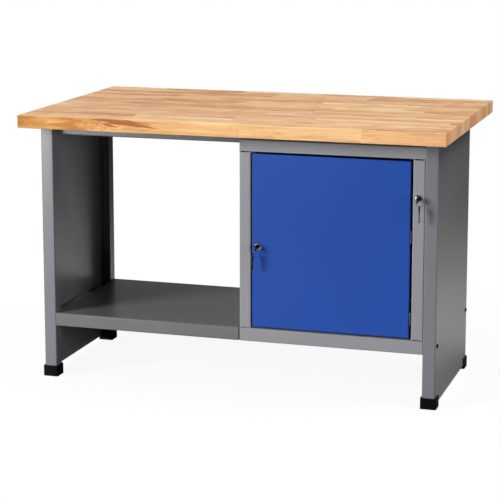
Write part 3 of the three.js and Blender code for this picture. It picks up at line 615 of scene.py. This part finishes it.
def turned(profile, place, along, closed=False):
    """Body of revolution from (radius, height, sides) points; six sides give a hexagon, none a circle."""
    shape = bmesh.new()
    turn = Vector((0, 0, 1)).rotation_difference(Vector(along)).to_matrix()

    def ring(radius, height, sides):
        if radius == 0:
            return [shape.verts.new(Vector(place) + turn @ Vector((0, 0, height)))] * TURNED_STEPS
        corners = []
        for step in range(TURNED_STEPS):
            angle = 2 * math.pi * step / TURNED_STEPS
            reach = radius
            if sides:
                half = math.pi / sides
                reach = radius / math.cos((angle + half) % (2 * half) - half)
            point = Vector((reach * math.cos(angle), reach * math.sin(angle), height))
            corners.append(shape.verts.new(Vector(place) + turn @ point))
        return corners

    rings = [ring(*point) for point in profile]
    for low, high in zip(rings, rings[1:] + rings[:1] if closed else rings[1:]):
        for step in range(TURNED_STEPS):
            after = (step + 1) % TURNED_STEPS
            corners = dict.fromkeys((low[step], low[after], high[after], high[step]))
            shape.faces.new(corners)
    bmesh.ops.recalc_face_normals(shape, faces=shape.faces)
    return mesh_from(shape, "turned")


def rounded_board(low, high, arris):
    shape = bmesh.new()
    size = Matrix.Diagonal(high - low).to_4x4()
    bmesh.ops.create_cube(shape, size=1, matrix=Matrix.Translation((low + high) / 2) @ size)
    bmesh.ops.bevel(shape, geom=shape.edges[:], offset=arris, segments=BOARD_ARRIS_STEPS, profile=0.5,
                    affect="EDGES")
    return mesh_from(shape, "board")


def add_worktop():
    stand_in("worktop", rounded_board(*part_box("worktop"), WORKTOP_ARRIS))


def add_sheet_pieces():
    """Folded and moulded pieces. The cabinet's back and the trays' ends are plain plates and stay as is."""
    for node in SLOT_OF:
        if node == "cabinet_top":
            stand_in(node, lowered_rail(welded(node)))
        elif SLOT_OF[node].endswith("_paint") and "end_" not in node and node != "cabinet_back":
            stand_in(node, welded(node))
        elif node.startswith("shelf_clip") or "_hinge_" in node:
            stand_in(node, welded(node))
        elif SLOT_OF[node] == "foot":
            stand_in(node, welded(node, whole_faces=True), rounding=FOOT_ARRIS)


def lowered_rail(mesh):
    """Lowers the cabinet's upper rail and leans it back, which leaves a dark slit under the worktop."""
    for vertex in mesh.vertices:
        if vertex.co.z > TOP_RAIL_ROOT:
            vertex.co += Vector((0, TOP_RAIL_LEAN, -TOP_RAIL_SLIT))
    return mesh


def add_painted_seam_shade():
    """Black strip set back in the seam between shelf and cabinet floor: painted shade, a dark piece where the
    seam lies in shade.
    """
    left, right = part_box("shelf_end_right"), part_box("floor_end_left")
    low = Vector((left[1].x + SEAM_PLAY, left[0].y + SEAM_INSET, left[0].z + SEAM_PLAY))
    high = Vector((right[0].x - SEAM_PLAY, right[1].y - SEAM_INSET, left[1].z - SEAM_PLAY))
    strip = rounded_board(low, high, SEAM_ARRIS)
    soften(strip)
    # The feet's black plastic makes the strip dark: painted shade in the seam.
    add_piece("painted_seam_shade", strip, "bench", finishes["foot"])


def add_lock_pieces(name):
    add_lock_face(name)
    stand_in(f"{name}_lock_plug", welded(f"{name}_lock_plug"), finishes["plug"])
    add_key_ring(name)
    add_keys(name)


def add_lock_face(name):
    low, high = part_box(f"{name}_lock_housing")
    middle = (low + high) / 2
    rosette = (high.x - low.x) / 2
    depth = high.y - low.y
    profile = [(PLUG_RADIUS + beyond, behind, 0) for beyond, behind in PLUG_EDGE]
    bore = profile[0][0]
    profile += [(rosette + beyond, behind, 0) for beyond, behind in ROSETTE_EDGE]
    profile += [(BARREL_RADIUS, ROSETTE_BACK, 0), (BARREL_RADIUS, depth, 0), (bore, depth, 0)]
    face = Vector((middle.x, low.y, middle.z))
    stand_in(f"{name}_lock_housing", turned(profile, face, (0, 1, 0), closed=True))


def add_key_ring(name):
    low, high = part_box(f"{name}_key_ring")
    wire = (high.y - low.y) / 2
    sweep = (high.x - low.x) / 2 - wire
    angles = [2 * math.pi * step / WIRE_STEPS for step in range(WIRE_STEPS)]
    section = [(sweep + wire * math.cos(angle), wire * math.sin(angle), 0) for angle in angles]
    stand_in(f"{name}_key_ring", turned(section, (low + high) / 2, (0, 1, 0), closed=True))


def add_keys(name):
    """One key in the lock, and a spare one that hangs tip down."""
    low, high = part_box(f"{name}_key")
    in_lock = Matrix.Translation((low.x / 2 + high.x / 2, high.y, low.z / 2 + high.z / 2))
    stand_in(f"{name}_key", key_mesh(in_lock))
    low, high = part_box(f"{name}_spare_key")
    hanging = Matrix.Translation((low.x / 2 + high.x / 2, low.y / 2 + high.y / 2, low.z))
    stand_in(f"{name}_spare_key", key_mesh(hanging @ Matrix.Rotation(-math.pi / 2, 4, "X")))


def key_outline():
    """Tip, bow and cuts of a key that points to +X, as points around its edge."""
    half = KEY_BLADE_WIDTH / 2
    bow_middle = -KEY_LENGTH + KEY_BOW_LENGTH / 2
    start = math.asin(KEY_BLADE_WIDTH / KEY_BOW_WIDTH)
    outline = [(0, 0), (-KEY_TIP, half)]
    for step in range(BOW_STEPS + 1):
        angle = start + 2 * (math.pi - start) * step / BOW_STEPS
        outline.append((bow_middle + KEY_BOW_LENGTH / 2 * math.cos(angle),
                        KEY_BOW_WIDTH / 2 * math.sin(angle)))
    for cut, depth in enumerate(KEY_CUTS):
        x = -KEY_TIP - KEY_CUT_PITCH * (len(KEY_CUTS) - cut)
        outline += [(x, -half), (x + KEY_CUT_PITCH / 2, depth - half)]
    outline.append((-KEY_TIP, -half))
    return outline


def key_hole():
    middle = -KEY_LENGTH + KEY_HOLE_INSET
    angles = [2 * math.pi * step / BOW_STEPS for step in range(BOW_STEPS)]
    return [(middle + KEY_HOLE_RADIUS * math.cos(angle), KEY_HOLE_RADIUS * math.sin(angle))
            for angle in angles]


def key_mesh(place):
    """Flat key in the YZ plane, with its tip at the place given and pointing to +Y."""
    curve = bpy.data.curves.new("key", "CURVE")
    curve.dimensions = "2D"
    curve.fill_mode = "BOTH"
    curve.extrude = KEY_SHEET / 2 - KEY_ARRIS
    curve.bevel_depth = KEY_ARRIS
    curve.bevel_resolution = 1
    curve.offset = -KEY_ARRIS
    for points in (key_outline(), key_hole()):
        spline = curve.splines.new("POLY")
        spline.points.add(len(points) - 1)
        for point, (x, y) in zip(spline.points, points):
            point.co = (x, y, 0, 1)
        spline.use_cyclic_u = True
    holder = bpy.data.objects.new("key", curve)
    scene.collection.objects.link(holder)
    mesh = bpy.data.meshes.new_from_object(holder.evaluated_get(bpy.context.evaluated_depsgraph_get()))
    bpy.data.objects.remove(holder)
    upright = Matrix(((0, 0, 1, 0), (1, 0, 0, 0), (0, 1, 0, 0), (0, 0, 0, 1)))
    mesh.transform(place @ upright)
    shape = bmesh.new()
    shape.from_mesh(mesh)
    bmesh.ops.remove_doubles(shape, verts=shape.verts, dist=WELD)
    bmesh.ops.recalc_face_normals(shape, faces=shape.faces)
    bpy.data.meshes.remove(mesh)
    return mesh_from(shape, "key")


def add_bolts():
    """Button heads with a hexagon socket, each with its shank through the post."""
    for node in SLOT_OF:
        if not node.endswith("_bolt"):
            continue
        low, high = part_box(node)
        side = 1 if low.x > 0 else -1
        head = (high.z - low.z) / 2
        face = high.x if side > 0 else low.x
        tail = abs(high.x - low.x)
        profile = [
            (0, -BOLT_SOCKET_DEPTH, 0),
            (BOLT_SOCKET, -BOLT_SOCKET_DEPTH, BOLT_SOCKET_SIDES),
            (BOLT_SOCKET, -BOLT_SOCKET_LIP, BOLT_SOCKET_SIDES),
            (BOLT_SOCKET + BOLT_SOCKET_CHAMFER, 0, 0),
        ]
        profile += [(head * share, -below, 0) for share, below in BOLT_DOME]
        profile += [(head, -BOLT_HEAD, 0), (BOLT_SHANK, -BOLT_HEAD, 0), (BOLT_SHANK, -tail, 0), (0, -tail, 0)]
        place = (face, (low.y + high.y) / 2, (low.z + high.z) / 2)
        stand_in(node, turned(profile, place, (side, 0, 0)))


def row_of_heads():
    """Node tree: a row of domed heads from a first place, step by step, facing one way."""
    tree = bpy.data.node_groups.new("row_of_heads", "GeometryNodeTree")
    add = tree.interface.new_socket
    add("Geometry", in_out="OUTPUT", socket_type="NodeSocketGeometry")
    for name, kind in (("First", "Vector"), ("Step", "Vector"), ("Count", "Int"), ("Facing", "Rotation"),
                       ("Head Radius", "Float"), ("Head Height", "Float"), ("Finish", "Material")):
        add(name, in_out="INPUT", socket_type=f"NodeSocket{kind}")
    node = tree.nodes.new
    link = tree.links.new
    inputs = node("NodeGroupInput").outputs
    line = node("GeometryNodeMeshLine")
    link(inputs["Count"], line.inputs["Count"])
    link(inputs["First"], line.inputs["Start Location"])
    link(inputs["Step"], line.inputs["Offset"])
    ball = node("GeometryNodeMeshUVSphere")
    ball.inputs["Segments"].default_value = HEAD_SEGMENTS
    ball.inputs["Rings"].default_value = HEAD_SEGMENTS // 2
    ball.inputs["Radius"].default_value = 1.0
    size = node("ShaderNodeCombineXYZ")
    for axis, name in (("X", "Head Radius"), ("Y", "Head Radius"), ("Z", "Head Height")):
        link(inputs[name], size.inputs[axis])
    heads = node("GeometryNodeInstanceOnPoints")
    link(line.outputs["Mesh"], heads.inputs["Points"])
    link(ball.outputs["Mesh"], heads.inputs["Instance"])
    link(inputs["Facing"], heads.inputs["Rotation"])
    link(size.outputs[0], heads.inputs["Scale"])
    real = node("GeometryNodeRealizeInstances")
    link(heads.outputs[0], real.inputs[0])
    smooth = node("GeometryNodeSetShadeSmooth")
    link(real.outputs[0], smooth.inputs[0])
    painted = node("GeometryNodeSetMaterial")
    link(smooth.outputs[0], painted.inputs["Geometry"])
    link(inputs["Finish"], painted.inputs["Material"])
    link(painted.outputs[0], node("NodeGroupOutput").inputs[0])
    return tree


def add_heads(name, body, slot, head, count, rows):
    """One piece for a body from rows of equal heads, each row given as (first, step, facing)."""
    radius, height = head
    shape = bmesh.new()
    tree = row_of_heads()
    sockets = {item.name: item.identifier for item in tree.interface.items_tree if item.in_out == "INPUT"}
    for first, step, facing in rows:
        holder = bpy.data.objects.new(name, bpy.data.meshes.new(name))
        scene.collection.objects.link(holder)
        modifier = holder.modifiers.new("heads", "NODES")
        modifier.node_group = tree
        turn = Vector((0, 0, 1)).rotation_difference(Vector(facing)).to_euler()
        for key, value in (("First", first), ("Step", step), ("Count", count), ("Facing", turn),
                           ("Head Radius", radius), ("Head Height", height), ("Finish", finishes[slot])):
            modifier[sockets[key]] = value
        settle(holder)
        shape.from_mesh(holder.data)
        bpy.data.objects.remove(holder)
    mesh = mesh_from(shape, name)
    mesh.shade_smooth()
    add_piece(name, mesh, body, finishes[slot])


def add_back_rivets():
    low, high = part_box("cabinet_left_wall")
    right_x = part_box("cabinet_right_wall")[1].x
    rise = (high.z - low.z - 2 * RIVET_END_GAP) / (RIVET_COUNT - 1)
    rows = [((x, high.y, low.z + RIVET_END_GAP), (0, 0, rise), (0, 1, 0))
            for x in (low.x + RIVET_INSET, right_x - RIVET_INSET)]
    add_heads("back_rivets", "bench", "cabinet_paint", RIVET_HEAD, RIVET_COUNT, rows)


def add_worktop_screws():
    """Screws up into the worktop, under the upper lips of both legs."""
    leg_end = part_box("right_leg")[1]
    under = leg_end.z - LEG_SHEET
    first_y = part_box("front_rail")[1].y + SCREW_END_GAP
    last_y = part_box("rear_rail")[0].y - SCREW_END_GAP
    step = (last_y - first_y) / (SCREW_COUNT - 1)
    rows = [((x, first_y, under), (0, step, 0), (0, 0, -1))
            for x in (leg_end.x - SCREW_INSET, -leg_end.x + SCREW_INSET)]
    add_heads("worktop_screws", "bench", "steel", SCREW_HEAD, SCREW_COUNT, rows)


def add_hinge_screws():
    for leaf, body, facing in (("frame_leaf", "bench", -1), ("door_leaf", "door", 1)):
        rows = []
        for hinge in ("upper", "lower"):
            low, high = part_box(f"{hinge}_hinge_{leaf}")
            plate = high.x - HINGE_LEAF if facing < 0 else low.x + HINGE_LEAF
            first = (plate, high.y - HINGE_SCREW_INSET, (low.z + high.z) / 2 - HINGE_SCREW_PITCH / 2)
            rows.append((first, (0, 0, HINGE_SCREW_PITCH), (facing, 0, 0)))
        add_heads(f"hinge_screws_{body}", body, "steel", HINGE_SCREW_HEAD, HINGE_SCREW_COUNT, rows)


def add_camera():
    camera = bpy.data.objects.new("camera", bpy.data.cameras.new("camera"))
    camera.location = CAMERA_PLACE
    camera.rotation_euler = (math.radians(90 - CAMERA_PITCH), 0, math.radians(CAMERA_AZIMUTH))
    camera.data.sensor_width = SENSOR_WIDTH
    camera.data.lens = SENSOR_WIDTH * FOCAL_PIXELS / FRAME_PIXELS
    camera.data.shift_y = (OPTICAL_AXIS_ROW - FRAME_PIXELS / 2) / FRAME_PIXELS
    scene.collection.objects.link(camera)
    scene.camera = camera


def add_softbox(name, place, aim, size, power, tint=WHITE_LIGHT, lights=True, mirrored=True):
    """Lamp of a given width and height, which may be left out of the plain light or of reflections."""
    light = bpy.data.lights.new(name, "AREA")
    light.color = tint
    light.shape = "RECTANGLE"
    light.size, light.size_y = size
    light.energy = power
    softbox = bpy.data.objects.new(name, light)
    softbox.visible_diffuse = lights
    softbox.visible_glossy = mirrored
    softbox.location = place
    softbox.rotation_euler = (Vector(aim) - Vector(place)).to_track_quat("-Z", "Y").to_euler()
    scene.collection.objects.link(softbox)


def add_softboxes():
    """Boxes that would lie on the worktop or the shelf as a white patch leave no reflection.

    The glint box stands lower than the worktop, shines in metal and paint, and lights nothing else.
    """
    add_softbox("key_softbox", place=(-4.9, -5.1, 2.45), aim=(0.0, -0.3, 0.5),
                size=(2.2, 2.6), power=600, mirrored=False)
    add_softbox("front_softbox", place=(-1.2, -6.4, 1.80), aim=(0.1, -0.3, 0.5),
                size=(1.6, 1.6), power=40, mirrored=False)
    add_softbox("glint_softbox", place=(-3.6, -5.6, 0.42), aim=(0.3, -0.4, 0.6),
                size=(1.8, 0.8), power=150, lights=False)
    add_softbox("fill_softbox", place=(5.0, -2.8, 1.25), aim=(0.4, -0.3, 0.5),
                size=(1.4, 1.0), power=84, tint=WARM_LIGHT, mirrored=False)
    add_softbox("back_softbox", place=(-4.0, 4.0, 0.60), aim=(0.0, 0.2, 0.5),
                size=(2.0, 1.0), power=150, mirrored=False)
    add_softbox("overhead_softbox", place=(-0.6, -0.1, 3.2), aim=(-0.4, 0.0, 0.85),
                size=(2.0, 1.4), power=27)
    add_softbox("right_softbox", place=(2.6, -0.1, 4.4), aim=(0.5, 0.0, 0.6),
                size=(1.6, 2.0), power=128, tint=WARM_LIGHT)


def add_floor():
    """White to the eye but for a soft shadow, grey to the light it sends back. In reflections it is painted
    white round the bench and fades to grey further out, a painted pool of light, and is darker right by the
    bench, a painted contact shadow.
    """
    bpy.ops.mesh.primitive_plane_add(size=FLOOR_SIZE)
    floor = bpy.context.object
    floor.name = "floor"
    finish = Finish("pale_floor")
    rays = finish.node("ShaderNodeLightPath").outputs
    away = finish.length(finish.place())
    # Painted pool of light and painted contact shadow, seen only in reflections: white round the bench, grey
    # further out, darker close by
    painted_pool_and_shadow = finish.math("MULTIPLY", finish.remap(away, *FLOOR_PAINTED_LIGHT_POOL_REACH, 1.0, 0.0),
                        finish.remap(away, *FLOOR_PAINTED_CONTACT_SHADOW_REACH, FLOOR_PAINTED_CONTACT_SHADOW, 1.0))
    mirrored = finish.math("MULTIPLY", rays["Is Glossy Ray"], painted_pool_and_shadow)
    white = finish.math("MAXIMUM", rays["Is Camera Ray"], mirrored)
    colour = finish.mix(white, linear(FLOOR_PAINT), linear(FLOOR_WHITE))
    finish.surface(Base_Color=colour, Roughness=FLOOR_ROUGHNESS, Specular_IOR_Level=0.0)
    glow = finish.node("ShaderNodeEmission", {"Color": (1, 1, 1, 1), "Strength": 1.0})
    unshaded = finish.remap(away, *FLOOR_SHADOW_REACH, 1.0 - FLOOR_SHADOW_DEPTH, 1.0)
    share = finish.math("MULTIPLY", rays["Is Camera Ray"], unshaded)
    blend = finish.node("ShaderNodeMixShader", {0: share, 1: finish.shader.outputs[0], 2: glow.outputs[0]})
    output = finish.tree.nodes["Material Output"]
    finish.tree.links.new(blend.outputs[0], output.inputs["Surface"])
    floor.data.materials.append(finish.material)


def add_world():
    """White to the eye, a dim grey room in reflections, and a faint even light on the object."""
    world = bpy.data.worlds.new("studio")
    scene.world = world
    world.use_nodes = True
    tree = world.node_tree
    rays = tree.nodes.new("ShaderNodeLightPath").outputs
    background = tree.nodes["Background"]
    background.inputs["Color"].default_value = (1, 1, 1, 1)
    mirrored = tree.nodes.new("ShaderNodeMapRange")
    mirrored.inputs["To Min"].default_value = ROOM_LIGHT
    mirrored.inputs["To Max"].default_value = BACKDROP_GLOW
    tree.links.new(rays["Is Glossy Ray"], mirrored.inputs["Value"])
    strength = tree.nodes.new("ShaderNodeMapRange")
    strength.inputs["To Max"].default_value = 1.0
    tree.links.new(rays["Is Camera Ray"], strength.inputs["Value"])
    tree.links.new(mirrored.outputs[0], strength.inputs["To Min"])
    tree.links.new(strength.outputs[0], background.inputs["Strength"])


scene.view_settings.view_transform = "Standard"
finishes = all_finishes()
add_camera()
dress_frame()
add_worktop()
add_sheet_pieces()
add_painted_seam_shade()
add_lock_pieces("door")
add_lock_pieces("frame")
add_bolts()
add_back_rivets()
add_worktop_screws()
add_hinge_screws()
add_world()
add_floor()
add_softboxes()
